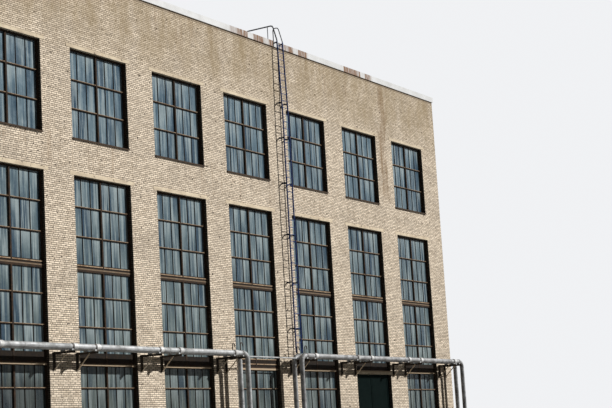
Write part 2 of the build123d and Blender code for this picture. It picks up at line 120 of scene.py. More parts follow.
def addNode(tree, kind, inputs=None, **settings):
    node = tree.nodes.new("ShaderNode" + kind)
    for key, value in settings.items():
        setattr(node, key, value)
    for key, value in (inputs or {}).items():
        if isinstance(value, bpy.types.NodeSocket):
            tree.links.new(value, node.inputs[key])
        else:
            node.inputs[key].default_value = value
    return node


def calc(tree, how, a, b=0.0):
    return addNode(tree, "Math", {0: a, 1: b}, operation=how).outputs[0]


def fade(tree, value, low, high, start=0.0, end=1.0):
    return addNode(tree, "MapRange", {0: value, 1: low, 2: high, 3: start, 4: end}).outputs[0]


def band(tree, value, low, high, soft):
    # 1 between low and high, falling to 0 over the soft edge
    rise = fade(tree, value, low - soft, low)
    fall = fade(tree, value, high + soft, high)
    return calc(tree, "MULTIPLY", rise, fall)


def bands(tree, value, spans, soft):
    total = band(tree, value, *spans[0], soft)
    for span in spans[1:]:
        total = calc(tree, "MAXIMUM", total, band(tree, value, *span, soft))
    return total


def tint(tree, share, a, b):
    return addNode(tree, "Mix", {0: share, 6: a, 7: b}, data_type="RGBA").outputs[2]


def spot(tree, vector, stretch, scale, detail=3.0, rough=0.5):
    moved = addNode(tree, "Mapping", {"Vector": vector, "Scale": stretch}).outputs[0]
    inputs = {"Vector": moved, "Scale": scale, "Detail": detail, "Roughness": rough}
    return addNode(tree, "TexNoise", inputs).outputs[0]


def spreadOver(tree):
    # coordinates that stay with the object
    return addNode(tree, "TexCoord").outputs["Object"]


def split(tree, vector):
    return addNode(tree, "SeparateXYZ", {0: vector}).outputs


def alongWall(tree, x, y):
    # distance along a wall: x on the long sides, y on the ends and in the reveals
    facing = split(tree, addNode(tree, "TexCoord").outputs["Normal"])[0]
    turned = calc(tree, "GREATER_THAN", calc(tree, "ABSOLUTE", facing), 0.5)
    swap = calc(tree, "MULTIPLY", turned, calc(tree, "SUBTRACT", y, x))
    return calc(tree, "ADD", x, swap), turned


def dress(tree, shader, colour, rough, shine, height, depth, strength):
    # what every finish ends with: colour, roughness, strength of the highlight and relief
    tree.links.new(colour, shader.inputs["Base Color"])
    tree.links.new(rough, shader.inputs["Roughness"])
    shader.inputs["Specular IOR Level"].default_value = shine
    bump = addNode(tree, "Bump", {"Strength": strength, "Distance": depth, "Height": height})
    tree.links.new(bump.outputs[0], shader.inputs["Normal"])


# in the finishes below, Spots are stretch, scale, detail and roughness of a noise, and Share says from
# which to which value of it a colour comes in, and how much of that colour there is at either end

# brick: the bond is true to scale

brick = {
    "course": 0.0761, "stretcher": 0.2632, "joint": 0.0097, "jointSoft": 0.1, "bias": -0.2,
    "bond": {"offset": 0.5, "offset_frequency": 2, "squash": 0.5, "squash_frequency": 6},
    "outline": (18.31, 8.31),
    "pale": (0.99, 0.835, 0.645, 1), "deep": (0.62, 0.505, 0.375, 1), "mortar": (0.008, 0.006, 0.004, 1),
    "paintedRevealShade": (0.02, 0.0155, 0.012, 1), "burnt": (0.2, 0.15, 0.105, 1), "chipped": (0.045, 0.032, 0.023, 1),
    "stain": (0.25, 0.16, 0.085, 1), "soot": (0.3, 0.255, 0.205, 1),
    "aged": (0.33, 0.245, 0.135, 1), "splash": (0.2, 0.17, 0.135, 1),
    "firedSpots": ((1.0, 3.4, 1.0), 4.2, 1.0, 0.3), "firedShare": (0.55, 0.64, 0.0, 0.4),
    "chipSpots": ((1.0, 2.0, 1.0), 4.6, 2.0, 0.5), "chipShare": (0.665, 0.685, 0.0, 0.9),
    "patchSpots": ((1, 1, 1.6), 0.5, 5.0, 0.62), "patchShare": (0.42, 0.7, 0.0, 0.3),
    "speckleSpots": ((1, 1, 1), 48.0, 3.0, 0.7), "speckleShare": (0.55, 0.78, 0.0, 0.35),
    "waveSpots": ((1, 1, 0.4), 1.1, 6.0, 0.66), "agedZ": (16.4, 18.2), "agedShare": (0.34, 0.66, 0.08, 0.72),
    "dripSpots": ((2.8, 2.8, 0.15), 1.7, 5.0, 0.62), "dripShare": (0.54, 0.7, 0.0, 0.36),
    "dripZ": [(12.6, 13.36), (0.8, 1.45), (18.6, 19.75)], "dripSoft": 0.7,
    "copingShadowZ": (19.66, 19.75), "copingShadowSoft": 0.05, "copingShadowShare": 0.55,
    "wanderSpots": ((1, 1, 0.4), 1.3, 4.0), "wander": (0.3, 0.7, -0.35, 0.35),
    "runX": (12.2, 12.75), "runSoftX": 0.25, "runZ": (14.2, 19.3), "runSoftZ": 0.7,
    "runShare": (0.35, 0.62, 0.25, 0.8), "revealShadeShare": 0.88,
    "footZ": (1.1, 0.0), "footShare": (0.3, 0.65, 0.25, 0.7),
    "rough": (0.3, 0.7, 0.86, 0.96), "shine": 0.04, "grain": 0.4, "relief": 0.007, "bump": 0.9,
}


def brickFinish():
    finish, tree, shader = newFinish("buffBrick")
    spread = spreadOver(tree)
    x, y, z = split(tree, spread)
    along = alongWall(tree, x, y)[0]
    flat = addNode(tree, "CombineXYZ", {0: along, 1: z, 2: 0.0}).outputs[0]
    courses = {
        "Vector": flat, "Color1": brick["pale"], "Color2": brick["deep"], "Mortar": brick["mortar"],
        "Scale": 1.0, "Mortar Size": brick["joint"], "Mortar Smooth": brick["jointSoft"],
        "Bias": brick["bias"], "Brick Width": brick["stretcher"], "Row Height": brick["course"],
    }
    bond = addNode(tree, "TexBrick", courses, **brick["bond"])
    colour = bond.outputs["Color"]
    # single bricks fired darker, and knocked ones
    fired = spot(tree, flat, *brick["firedSpots"])
    colour = tint(tree, fade(tree, fired, *brick["firedShare"]), colour, brick["soot"])
    chip = spot(tree, flat, *brick["chipSpots"])
    colour = tint(tree, fade(tree, chip, *brick["chipShare"]), colour, brick["chipped"])
    # the shade drifts in loose patches, and the face is speckled
    patch = spot(tree, spread, *brick["patchSpots"])
    colour = tint(tree, fade(tree, patch, *brick["patchShare"]), colour, brick["soot"])
    speckle = spot(tree, spread, *brick["speckleSpots"])
    colour = tint(tree, fade(tree, speckle, *brick["speckleShare"]), colour, brick["burnt"])
    # the wall over the upper windows is more weathered
    wave = spot(tree, spread, *brick["waveSpots"])
    high = fade(tree, z, *brick["agedZ"])
    grey = calc(tree, "MULTIPLY", high, fade(tree, wave, *brick["agedShare"]))
    colour = tint(tree, grey, colour, brick["aged"])
    # runs below the window sills and from the coping, and a painted shadow under the overhang of the coping
    drip = spot(tree, spread, *brick["dripSpots"])
    under = bands(tree, z, brick["dripZ"], brick["dripSoft"])
    runs = calc(tree, "MULTIPLY", under, fade(tree, drip, *brick["dripShare"]))
    colour = tint(tree, runs, colour, brick["stain"])
    # painted shadow: a dark band at the top of the wall, where the coping's overhang throws its shade
    edge = calc(tree, "MULTIPLY", band(tree, z, *brick["copingShadowZ"], brick["copingShadowSoft"]), brick["copingShadowShare"])
    colour = tint(tree, edge, colour, brick["burnt"])
    # the brown run down the pier to the right of the gate
    onFront = calc(tree, "LESS_THAN", y, building["onFront"])
    wander = fade(tree, spot(tree, spread, *brick["wanderSpots"]), *brick["wander"])
    wavyX = calc(tree, "ADD", x, wander)
    runX = band(tree, wavyX, *brick["runX"], brick["runSoftX"])
    run = calc(tree, "MULTIPLY", runX, band(tree, z, *brick["runZ"], brick["runSoftZ"]))
    run = calc(tree, "MULTIPLY", run, onFront)
    run = calc(tree, "MULTIPLY", run, fade(tree, drip, *brick["runShare"]))
    colour = tint(tree, run, colour, brick["stain"])
    # painted shade: the reveals and the inner faces of the walls are darkened as if in shadow
    insideX = calc(tree, "LESS_THAN", calc(tree, "ABSOLUTE", x), brick["outline"][0])
    insideY = calc(tree, "LESS_THAN", calc(tree, "ABSOLUTE", y), brick["outline"][1])
    shadeInside = calc(tree, "MULTIPLY", calc(tree, "MULTIPLY", insideX, insideY), brick["revealShadeShare"])
    colour = tint(tree, shadeInside, colour, brick["paintedRevealShade"])
    # splashed and dirty foot of the wall
    foot = calc(tree, "MULTIPLY", fade(tree, z, *brick["footZ"]), fade(tree, wave, *brick["footShare"]))
    colour = tint(tree, foot, colour, brick["splash"])
    height = calc(tree, "SUBTRACT", 1.0, bond.outputs["Fac"])
    height = calc(tree, "ADD", height, calc(tree, "MULTIPLY", speckle, brick["grain"]))
    rough = fade(tree, patch, *brick["rough"])
    dress(tree, shader, colour, rough, brick["shine"], height, brick["relief"], brick["bump"])
    return finish


# concrete: cream lintels and grey floors, each with its pale and dark colour and the share of chips

concrete = {
    "lintelConcrete": ((0.76, 0.64, 0.46, 1), (0.5, 0.4, 0.28, 1), 0.85),
    "floorConcrete": ((0.5, 0.49, 0.46, 1), (0.34, 0.33, 0.31, 1), 0.1),
    "chip": (0.12, 0.09, 0.065, 1), "rust": (0.33, 0.2, 0.1, 1),
    "cloudSpots": ((1, 1, 2.5), 1.9, 6.0, 0.65), "cloudShare": (0.35, 0.68),
    "grainSpots": ((1, 1, 1), 70.0, 3.0, 0.7), "grainShare": (0.56, 0.72, 0.0, 0.3),
    "rustSpots": ((3.0, 3.0, 0.6), 0.8, 4.0, 0.6), "rustShare": (0.6, 0.74, 0.0, 0.4),
    "chipSpots": ((1, 1, 1.3), 7.0, 2.0, 0.5), "chipFrom": (0.66, 0.7, 0.0),
    "rough": (0.3, 0.7, 0.8, 0.94), "shine": 0.3, "relief": 0.003, "bump": 0.6,
}


def concreteFinish(name):
    pale, dark, chips = concrete[name]
    finish, tree, shader = newFinish(name)
    spread = spreadOver(tree)
    cloud = spot(tree, spread, *concrete["cloudSpots"])
    colour = tint(tree, fade(tree, cloud, *concrete["cloudShare"]), pale, dark)
    grain = spot(tree, spread, *concrete["grainSpots"])
    colour = tint(tree, fade(tree, grain, *concrete["grainShare"]), colour, dark)
    rust = spot(tree, spread, *concrete["rustSpots"])
    colour = tint(tree, fade(tree, rust, *concrete["rustShare"]), colour, concrete["rust"])
    chip = spot(tree, spread, *concrete["chipSpots"])
    colour = tint(tree, fade(tree, chip, *concrete["chipFrom"], chips), colour, concrete["chip"])
    rough = fade(tree, grain, *concrete["rough"])
    dress(tree, shader, colour, rough, concrete["shine"], grain, concrete["relief"], concrete["bump"])
    return finish


# coping of pale sheet, rusted brown on some stretches, with laps between its sheets

coping = {
    "sheet": 1.25, "seam": 0.012, "proud": 0.004, "slope": 0.045, "reach": 0.559, "lapFront": -0.0545,
    "lapLow": 0.06, "halves": {"front": 18.38, "back": 18.38, "right_end": 7.75, "left_end": 7.75},
    "pale": (0.68, 0.675, 0.66, 1), "dull": (0.54, 0.53, 0.505, 1), "rust": (0.23, 0.12, 0.06, 1),
    "cloudSpots": ((1, 1, 1), 1.3, 5.0, 0.6), "cloudShare": (0.38, 0.68),
    "strip": 0.42, "stripKey": 3.0, "stripShare": (0.3, 0.5, 0.08, 1.0),
    "rusted": [(-0.7, 5.3), (8.8, 11.3)], "rustedSoft": 0.4,
    "farSpots": ((1, 1, 0.2), 0.12, 2.0), "farShare": (0.52, 0.58), "notFront": -7.6,
    "streakSpots": ((4.0, 4.0, 0.5), 2.2, 5.0, 0.65), "streakShare": (0.36, 0.54, 0.2, 0.95),
    "rough": (0.0, 0.8, 0.5, 0.88), "shine": 0.35, "relief": 0.003, "bump": 0.5,
}


def copingFinish():
    finish, tree, shader = newFinish("copingSheet")
    spread = spreadOver(tree)
    x, y = split(tree, spread)[:2]
    along, turned = alongWall(tree, x, y)
    cloud = spot(tree, spread, *coping["cloudSpots"])
    colour = tint(tree, fade(tree, cloud, *coping["cloudShare"]), coping["pale"], coping["dull"])
    # each strip took the weather in its own way
    strip = calc(tree, "FLOOR", calc(tree, "DIVIDE", along, coping["strip"]))
    place = addNode(tree, "CombineXYZ", {0: strip, 1: turned, 2: coping["stripKey"]}).outputs[0]
    pick = addNode(tree, "TexWhiteNoise", {"Vector": place}, noise_dimensions="3D").outputs["Value"]
    # rust on two stretches of the front, and loosely on the other sides
    old = bands(tree, x, coping["rusted"], coping["rustedSoft"])
    far = fade(tree, spot(tree, spread, *coping["farSpots"]), *coping["farShare"])
    far = calc(tree, "MULTIPLY", far, calc(tree, "GREATER_THAN", y, coping["notFront"]))
    old = calc(tree, "MAXIMUM", old, far)
    old = calc(tree, "MULTIPLY", old, fade(tree, pick, *coping["stripShare"]))
    streak = spot(tree, spread, *coping["streakSpots"])
    old = calc(tree, "MULTIPLY", old, fade(tree, streak, *coping["streakShare"]))
    colour = tint(tree, old, colour, coping["rust"])
    rough = fade(tree, old, *coping["rough"])
    dress(tree, shader, colour, rough, coping["shine"], streak, coping["relief"], coping["bump"])
    return finish


# roof felt in lapped strips

felt = {
    "strip": 1.0, "dark": (0.075, 0.075, 0.08, 1), "pale": (0.15, 0.145, 0.135, 1),
    "lap": (0.03, 0.03, 0.032, 1), "grit": (0.26, 0.26, 0.25, 1),
    "lapFrom": (0.94, 0.99), "lapShare": 0.6, "lapRise": 2.0,
    "cloudSpots": ((1, 1, 1), 0.6, 6.0, 0.6), "cloudShare": (0.35, 0.7),
    "gritSpots": ((1, 1, 1), 160.0, 2.0, 0.6), "gritShare": (0.6, 0.75, 0.0, 0.35),
    "rough": (0.3, 0.7, 0.8, 0.95), "shine": 0.5, "relief": 0.004, "bump": 0.7,
}


def feltFinish():
    finish, tree, shader = newFinish("roofFelt")
    spread = spreadOver(tree)
    x = split(tree, spread)[0]
    strip = calc(tree, "FRACT", calc(tree, "DIVIDE", x, felt["strip"]))
    lap = fade(tree, strip, *felt["lapFrom"])
    cloud = spot(tree, spread, *felt["cloudSpots"])
    colour = tint(tree, fade(tree, cloud, *felt["cloudShare"]), felt["dark"], felt["pale"])
    colour = tint(tree, calc(tree, "MULTIPLY", lap, felt["lapShare"]), colour, felt["lap"])
    grit = spot(tree, spread, *felt["gritSpots"])
    colour = tint(tree, fade(tree, grit, *felt["gritShare"]), colour, felt["grit"])
    height = calc(tree, "ADD", grit, calc(tree, "MULTIPLY", lap, felt["lapRise"]))
    rough = fade(tree, cloud, *felt["rough"])
    dress(tree, shader, colour, rough, felt["shine"], height, felt["relief"], felt["bump"])
    return finish


# window steel: brown paint gone to rust, with tan and brown lines on the transoms and a sill sheet darkened
# for its rust and as painted shade of its underside

steel = {
    "paint": (0.022, 0.016, 0.012, 1), "rust": (0.065, 0.04, 0.025, 1), "tan": (0.46, 0.35, 0.235, 1),
    "brown": (0.26, 0.19, 0.125, 1), "sill": (0.075, 0.05, 0.033, 1),
    "tanZ": [(4.945, 5.01)], "brownZ": [(8.51, 8.55)], "lineSoft": 0.008,
    "sillZ": [(13.33, 13.46), (1.43, 1.56)], "sillSoft": 0.005,
    "wearSpots": ((1, 1, 1), 6.0, 5.0, 0.65), "rustShare": (0.4, 0.66),
    "brownShare": (0.3, 0.6, 1.0, 0.6), "sillShare": (0.36, 0.6, 0.35, 1.0),
    "fineSpots": ((1, 1, 1), 60.0, 3.0, 0.6),
    "rough": (0.35, 0.65, 0.6, 0.88), "shine": 0.06, "relief": 0.0015, "bump": 0.6,
}


def windowSteelFinish():
    finish, tree, shader = newFinish("windowSteel")
    spread = spreadOver(tree)
    z = split(tree, spread)[2]
    wear = spot(tree, spread, *steel["wearSpots"])
    fine = spot(tree, spread, *steel["fineSpots"])
    colour = tint(tree, fade(tree, wear, *steel["rustShare"]), steel["paint"], steel["rust"])
    colour = tint(tree, bands(tree, z, steel["tanZ"], steel["lineSoft"]), colour, steel["tan"])
    middle = bands(tree, z, steel["brownZ"], steel["lineSoft"])
    middle = calc(tree, "MULTIPLY", middle, fade(tree, wear, *steel["brownShare"]))
    colour = tint(tree, middle, colour, steel["brown"])
    # the sill sheet is darker for its rust, and as painted shade of its underside
    sill = bands(tree, z, steel["sillZ"], steel["sillSoft"])
    sill = calc(tree, "MULTIPLY", sill, fade(tree, wear, *steel["sillShare"]))
    colour = tint(tree, sill, colour, steel["sill"])
    rough = fade(tree, wear, *steel["rough"])
    dress(tree, shader, colour, rough, steel["shine"], fine, steel["relief"], steel["bump"])
    return finish


# paint of the thin glazing bars, their nosings and the boards on the transoms; the nosings are pale as a
# painted highlight of a lit upper edge

barPaint = {
    "darkGlazingBar": ((0.014, 0.011, 0.009, 1), (0.045, 0.028, 0.018, 1)),
    "paintedHighlightGlazingNosing": ((0.5, 0.37, 0.24, 1), (0.22, 0.14, 0.085, 1)),
    "transomBoard": ((0.009, 0.007, 0.0055, 1), (0.028, 0.02, 0.014, 1)),
    "wearSpots": ((1, 1, 1), 7.0, 5.0, 0.65), "rustShare": (0.38, 0.64),
    "rough": (0.35, 0.65, 0.6, 0.9), "shine": 0.06, "relief": 0.002, "bump": 0.5,
}


def barFinish(name):
    finish, tree, shader = newFinish(name)
    wear = spot(tree, spreadOver(tree), *barPaint["wearSpots"])
    colour = tint(tree, fade(tree, wear, *barPaint["rustShare"]), *barPaint[name])
    rough = fade(tree, wear, *barPaint["rough"])
    dress(tree, shader, colour, rough, barPaint["shine"], wear, barPaint["relief"], barPaint["bump"])
    return finish


# dusty glass, every pane a little different: the middles are those of a pane's lean and of its width
# or height, and dust or depth grows away from them

glass = {
    "bay": 5.0, "firstBay": 16.675, "edge": 0.07, "half": 1.675, "secondLight": 1.645,
    "paneWide": 0.5217, "paneHigh": 1.12, "lowerSill": 1.88, "upperSill": 13.46, "between": 12.7,
    "keys": (7.0, 3.0, 20.0), "slide": 60.0,
    "grey": (0.14, 0.167, 0.148, 1), "blue": (0.13, 0.195, 0.235, 1), "blueZ": (3.0, 15.0),
    "deep": (0.02, 0.05, 0.085, 1), "dust": (0.36, 0.42, 0.42, 1), "lowDark": (0.02, 0.022, 0.02, 1),
    "deepShare": (0.6, 0.95, 0.0, 0.75), "sideMiddles": (0.5, 0.5), "levelMiddles": (0.35, 0.4),
    "slantDust": (0.0, 0.35, 0.0, 0.7), "slantDeep": (0.0, -0.3, 0.0, 0.7),
    "streakSpots": ((8.0, 1.0, 0.28), 1.0, 3.0, 0.6),
    "streakDust": (0.53, 0.58, 0.0, 0.6), "streakDeep": (0.46, 0.4, 0.0, 0.6),
    "darkBay": (-13.5, -12.9, 0.75, 0.35), "darkZ": (5.2, 4.2), "notFrontShare": 0.4,
    "smearSpots": ((1, 1, 1), 4.0, 5.0, 0.65), "alpha": (0.3, 0.7, 0.88, 0.99), "bend": 1.5,
    "rough": (0.35, 0.65, 0.12, 0.34), "shine": 0.12, "relief": 0.004, "bump": 0.15,
}


def glassFinish():
    finish, tree, shader = newFinish("dustyGlass")
    spread = spreadOver(tree)
    x, y, z = split(tree, spread)
    along, turned = alongWall(tree, x, y)
    # which bay, light and pane this is, and how far across and up the pane
    shifted = calc(tree, "ADD", along, glass["firstBay"])
    bay = calc(tree, "FLOOR", calc(tree, "DIVIDE", shifted, glass["bay"]))
    local = calc(tree, "SUBTRACT", shifted, calc(tree, "MULTIPLY", bay, glass["bay"]))
    second = calc(tree, "GREATER_THAN", local, glass["half"])
    inLight = calc(tree, "SUBTRACT", local, glass["edge"])
    inLight = calc(tree, "SUBTRACT", inLight, calc(tree, "MULTIPLY", second, glass["secondLight"]))
    across = calc(tree, "DIVIDE", inLight, glass["paneWide"])
    column = calc(tree, "FLOOR", across)
    across = calc(tree, "SUBTRACT", across, column)
    upper = calc(tree, "GREATER_THAN", z, glass["between"])
    foot = fade(tree, upper, 0.0, 1.0, glass["lowerSill"], glass["upperSill"])
    rise = calc(tree, "DIVIDE", calc(tree, "SUBTRACT", z, foot), glass["paneHigh"])
    row = calc(tree, "FLOOR", rise)
    rise = calc(tree, "SUBTRACT", rise, row)
    # a key of its own for each pane picks its tone and how it leans
    bayKey, lightKey, windowKey = glass["keys"]
    paneX = calc(tree, "ADD", calc(tree, "MULTIPLY", bay, bayKey), column)
    paneX = calc(tree, "ADD", paneX, calc(tree, "MULTIPLY", second, lightKey))
    paneZ = calc(tree, "ADD", row, calc(tree, "MULTIPLY", upper, windowKey))
    paneKey = addNode(tree, "CombineXYZ", {0: paneX, 1: paneZ, 2: turned}).outputs[0]
    pane = addNode(tree, "TexWhiteNoise", {"Vector": paneKey}, noise_dimensions="3D")
    pick = pane.outputs["Value"]
    lean = addNode(tree, "SeparateColor", {0: pane.outputs["Color"]}).outputs
    # dust on a tone that shifts from pane to pane
    colour = tint(tree, fade(tree, z, *glass["blueZ"]), glass["grey"], glass["blue"])
    colour = tint(tree, fade(tree, pick, *glass["deepShare"]), colour, glass["deep"])
    leanX = calc(tree, "SUBTRACT", lean[0], glass["sideMiddles"][0])
    side = calc(tree, "MULTIPLY", leanX, calc(tree, "SUBTRACT", across, glass["sideMiddles"][1]))
    leanZ = calc(tree, "SUBTRACT", lean[1], glass["levelMiddles"][0])
    level = calc(tree, "MULTIPLY", leanZ, calc(tree, "SUBTRACT", rise, glass["levelMiddles"][1]))
    slant = calc(tree, "ADD", side, level)
    colour = tint(tree, fade(tree, slant, *glass["slantDust"]), colour, glass["dust"])
    colour = tint(tree, fade(tree, slant, *glass["slantDeep"]), colour, glass["deep"])
    # each pane has its own upright streaks
    slide = calc(tree, "ADD", z, calc(tree, "MULTIPLY", pick, glass["slide"]))
    curtain = addNode(tree, "CombineXYZ", {0: along, 1: turned, 2: slide}).outputs[0]
    streak = spot(tree, curtain, *glass["streakSpots"])
    colour = tint(tree, fade(tree, streak, *glass["streakDust"]), colour, glass["dust"])
    colour = tint(tree, fade(tree, streak, *glass["streakDeep"]), colour, glass["deep"])
    # the panes are darker towards the ground, most of all in the first bay of the front
    darker = fade(tree, x, *glass["darkBay"])
    darker = calc(tree, "MULTIPLY", darker, fade(tree, z, *glass["darkZ"]))
    onFront = calc(tree, "LESS_THAN", y, building["onFront"])
    darker = calc(tree, "MULTIPLY", darker, fade(tree, onFront, 0.0, 1.0, glass["notFrontShare"]))
    colour = tint(tree, darker, colour, glass["lowDark"])
    smear = spot(tree, spread, *glass["smearSpots"])
    tree.links.new(fade(tree, smear, *glass["alpha"]), shader.inputs["Alpha"])
    shader.inputs["IOR"].default_value = glass["bend"]
    rough = fade(tree, smear, *glass["rough"])
    dress(tree, shader, colour, rough, glass["shine"], smear, glass["relief"], glass["bump"])
    return finish


# galvanised jacket of the pipes, dull with pale blooms

jacket = {
    "leftJacket": ((0.52, 0.525, 0.52, 1), (0.24, 0.24, 0.23, 1)),
    "rightJacket": ((0.4, 0.4, 0.395, 1), (0.16, 0.155, 0.15, 1)),
    "clampSheet": ((0.72, 0.71, 0.68, 1), (0.48, 0.47, 0.45, 1)),
    "spangle": (0.5, 0.51, 0.52, 1), "spangleScale": 26.0, "spangleShare": 0.16,
    "bloomSpots": ((1, 1, 1), 2.6, 5.0, 0.62), "bloomShare": (0.38, 0.64),
    "grime": (0.06, 0.05, 0.042, 1), "grimeSpots": ((0.6, 0.6, 3.0), 2.0, 5.0, 0.65),
    "grimeShare": (0.53, 0.72, 0.0, 0.65), "metal": 0.1,
    "rough": (0.3, 0.7, 0.42, 0.66), "shine": 0.2, "relief": 0.004, "bump": 0.35,
}


def jacketFinish(name):
    finish, tree, shader = newFinish(name)
    spread = spreadOver(tree)
    bloom = spot(tree, spread, *jacket["bloomSpots"])
    spangles = {"Vector": spread, "Scale": jacket["spangleScale"]}
    cells = addNode(tree, "TexVoronoi", spangles).outputs["Color"]
    value = addNode(tree, "SeparateColor", {0: cells}).outputs[0]
    colour = tint(tree, fade(tree, bloom, *jacket["bloomShare"]), *jacket[name])
    colour = tint(tree, calc(tree, "MULTIPLY", value, jacket["spangleShare"]), colour, jacket["spangle"])
    grime = spot(tree, spread, *jacket["grimeSpots"])
    colour = tint(tree, fade(tree, grime, *jacket["grimeShare"]), colour, jacket["grime"])
    shader.inputs["Metallic"].default_value = jacket["metal"]
    rough = fade(tree, bloom, *jacket["rough"])
    dress(tree, shader, colour, rough, jacket["shine"], bloom, jacket["relief"], jacket["bump"])
    return finish


# paint on steel: brackets, ladder, handrails and gate, each with its paint, worn and flaked colour,
# the share of worn paint, its roughness and its highlight

paint = {
    "bracketSteel": ((0.04, 0.032, 0.026, 1), (0.09, 0.065, 0.045, 1), (0.16, 0.085, 0.04, 1), 0.6, 0.6, 0.2),
    "braceHighlightPaint": ((0.78, 0.66, 0.5, 1), (0.6, 0.47, 0.33, 1), (0.2, 0.12, 0.07, 1), 0.6, 0.7, 0.2),
    "ladderPaint": ((0.008, 0.042, 0.2, 1), (0.02, 0.06, 0.19, 1), (0.06, 0.035, 0.02, 1), 0.5, 0.5, 0.2),
    "standoffPaint": ((0.013, 0.02, 0.045, 1), (0.03, 0.035, 0.05, 1), (0.1, 0.055, 0.03, 1), 0.5, 0.55, 0.2),
    "railPaint": ((0.01, 0.011, 0.014, 1), (0.03, 0.028, 0.028, 1), (0.09, 0.05, 0.028, 1), 0.5, 0.5, 0.2),
    "gatePaint": (
        (0.0015, 0.005, 0.0045, 1), (0.004, 0.0095, 0.0085, 1), (0.02, 0.013, 0.008, 1), 0.6, 0.7, 0.015,
    ),
    "wearSpots": ((1, 1, 1), 3.5, 6.0, 0.68), "wearFrom": (0.36, 0.66, 0.0),
    "flakeSpots": ((1, 1, 1), 16.0, 5.0, 0.7), "flakeFrom": (0.62, 0.69), "flakeShare": 0.8,
    "flakeRough": 0.88, "relief": 0.002, "bump": 0.4,
}


def paintFinish(name):
    sound, worn, bare, wornShare, gloss, shine = paint[name]
    finish, tree, shader = newFinish(name)
    spread = spreadOver(tree)
    wear = spot(tree, spread, *paint["wearSpots"])
    colour = tint(tree, fade(tree, wear, *paint["wearFrom"], wornShare), sound, worn)
    flaked = fade(tree, spot(tree, spread, *paint["flakeSpots"]), *paint["flakeFrom"])
    colour = tint(tree, calc(tree, "MULTIPLY", flaked, paint["flakeShare"]), colour, bare)
    rough = fade(tree, flaked, 0.0, 1.0, gloss, paint["flakeRough"])
    height = calc(tree, "SUBTRACT", wear, flaked)
    dress(tree, shader, colour, rough, shine, height, paint["relief"], paint["bump"])
    return finish


brickWall = brickFinish()
lintelConcrete = concreteFinish("lintelConcrete")
floorConcrete = concreteFinish("floorConcrete")
copingSheet = copingFinish()
roofFelt = feltFinish()
windowSteel = windowSteelFinish()
darkBars = barFinish("darkGlazingBar")
paintedHighlightNosing = barFinish("paintedHighlightGlazingNosing")
boardBrown = barFinish("transomBoard")
dustyGlass = glassFinish()
leftJacket = jacketFinish("leftJacket")
rightJacket = jacketFinish("rightJacket")
clampSheet = jacketFinish("clampSheet")
bracketSteel = paintFinish("bracketSteel")
braceHighlightPaint = paintFinish("braceHighlightPaint")
ladderPaint = paintFinish("ladderPaint")
standoffPaint = paintFinish("standoffPaint")
railPaint = paintFinish("railPaint")
gatePaint = paintFinish("gatePaint")

# the finish of each material slot, and of the nodes that have one of their own
finishes = {
    "brick": brickWall, "concrete": floorConcrete, "roofing": roofFelt, "coping_sheet": copingSheet,
    "window_steel": windowSteel, "window_glass": dustyGlass, "gate_paint": gatePaint,
    "bracket_steel": bracketSteel, "pipe_jacket": leftJacket, "ladder_paint": ladderPaint,
}
ownFinish = {
    "ladder_standoffs": standoffPaint, "roof_handrails": railPaint,
    "right_rack_front_pipe": rightJacket, "right_rack_rear_pipe": rightJacket,
}
for part in frame["record"]["subparts"]:
    node = frame["nodes"][part["node"]]
    finish = ownFinish.get(part["node"], finishes[part["material_slot"]])
    if part["node"].endswith("_lintels"):
        finish = lintelConcrete
    node.data.materials.clear()
    node.data.materials.append(finish)
print("finishes assigned")


# thin glazing bars: four uprights and two crossbars in every unit, each crossbar with a nosing painted pale
# as a painted highlight of its lit upper edge.
# rows are the heights of the crossbars, and boards says from where to where a board covers a transom

bars = {
    "frameFace": 0.07, "mullion": 0.08, "heavy": 0.15, "back": 0.194, "edge": 0.004, "panes": 3,
    "upright": 0.02, "uprightFront": 0.168, "crossbar": 0.032, "crossbarFront": 0.142,
    "nosing": 0.02, "nosingFront": 0.130, "nosingEdge": 0.003,
    "rows": (3.0, 4.12, 6.36, 7.48, 9.72, 10.84, 14.58, 15.7),
    "boards": {5.0: 5.42, 8.5: 8.705}, "boardFront": 0.142,
    "lips": (5.21, 5.42, 8.67), "lip": 0.04, "lipFront": 0.128, "lipSink": 0.002,
    "openBay": 3, "pipeShadeTop": 6.0,
}


def unitBars(uprights, crossbars, nosings, start, end, low, high):
    # the bars of one light of one unit
    for pane in range(1, bars["panes"]):
        x = start + (end - start) * pane / bars["panes"]
        half = bars["upright"] / 2
        corner = (x + half, bars["back"], high)
        addBlock(uprights, (x - half, bars["uprightFront"], low), corner, bars["edge"])
    for z in bars["rows"]:
        if not low < z < high:
            continue
        top = z + bars["crossbar"] / 2
        bottom = z - bars["crossbar"] / 2
        addBlock(crossbars, (start, bars["crossbarFront"], bottom), (end, bars["back"], top), bars["edge"])
        corner = (end, bars["back"], top + bars["nosing"])
        addBlock(nosings, (start, bars["nosingFront"], top), corner, bars["nosingEdge"])


def transomBoard(boards, nosings, start, end, low, high, lipped):
    # the board on top of a heavy transom, with pale lips along it as painted highlights of its lit edges
    addBlock(boards, (start, bars["boardFront"], low), (end, bars["back"], high), bars["edge"])
    for z in bars["lips"]:
        if lipped and low < z <= high:
            corner = (end, bars["boardFront"] + bars["lipSink"], z)
            addBlock(nosings, (start, bars["lipFront"], z - bars["lip"]), corner, bars["nosingEdge"])


